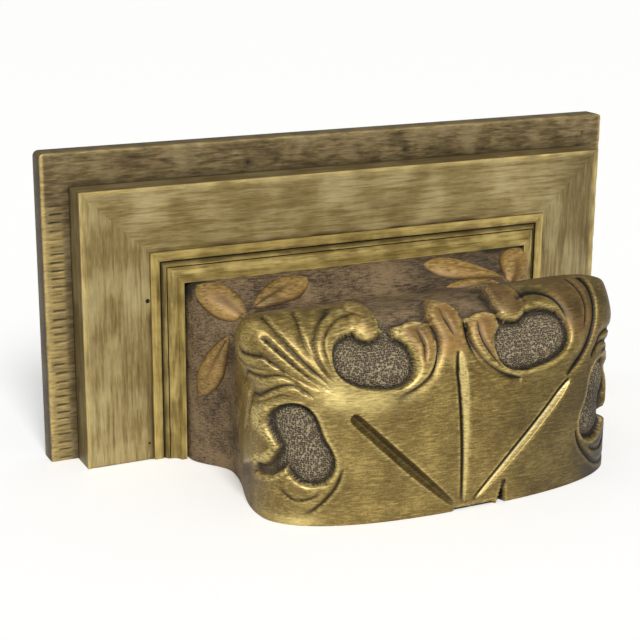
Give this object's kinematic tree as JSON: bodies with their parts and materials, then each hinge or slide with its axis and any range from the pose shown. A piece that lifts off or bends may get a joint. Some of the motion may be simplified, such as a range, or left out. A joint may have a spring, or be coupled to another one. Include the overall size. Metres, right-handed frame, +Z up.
{
  "type": "wooden corbel bracket",
  "caption": "Gilded wooden corbel bracket: a moulded rectangular back plate carries a deep carved block with scrolls, stippled bosses, leaves and gouged rays; flat-cut underside.",
  "frame": {"origin": "middle of the back board's flat back face, which goes against the wall", "axes": "+X to the viewer's right along the plate, +Y into the wall, +Z up as in the picture, with the flat cut face below"},
  "size_m": [0.33, 0.1525, 0.1594],
  "materials": {
    "board_gilding": "worn, rubbed bronze-gold over grey-brown wood",
    "frame_gilding": "pale brushed bronze-gold, satin, rubbed bright along the arrises",
    "moulding_gilding": "bright bronze-gold fillets with dark quirks, satin",
    "block_gilding": "olive antique gold, burnished on the ridges, grey-brown stippled ground"
  },
  "bodies": {
    "root": {"back_board": "board_gilding", "frame_left_stile": "frame_gilding", "frame_top_rail": "frame_gilding", "frame_right_stile": "frame_gilding", "inner_moulding_left": "moulding_gilding", "inner_moulding_top": "moulding_gilding", "inner_moulding_right": "moulding_gilding", "carved_block": "block_gilding"}
  },
  "joints": []
}
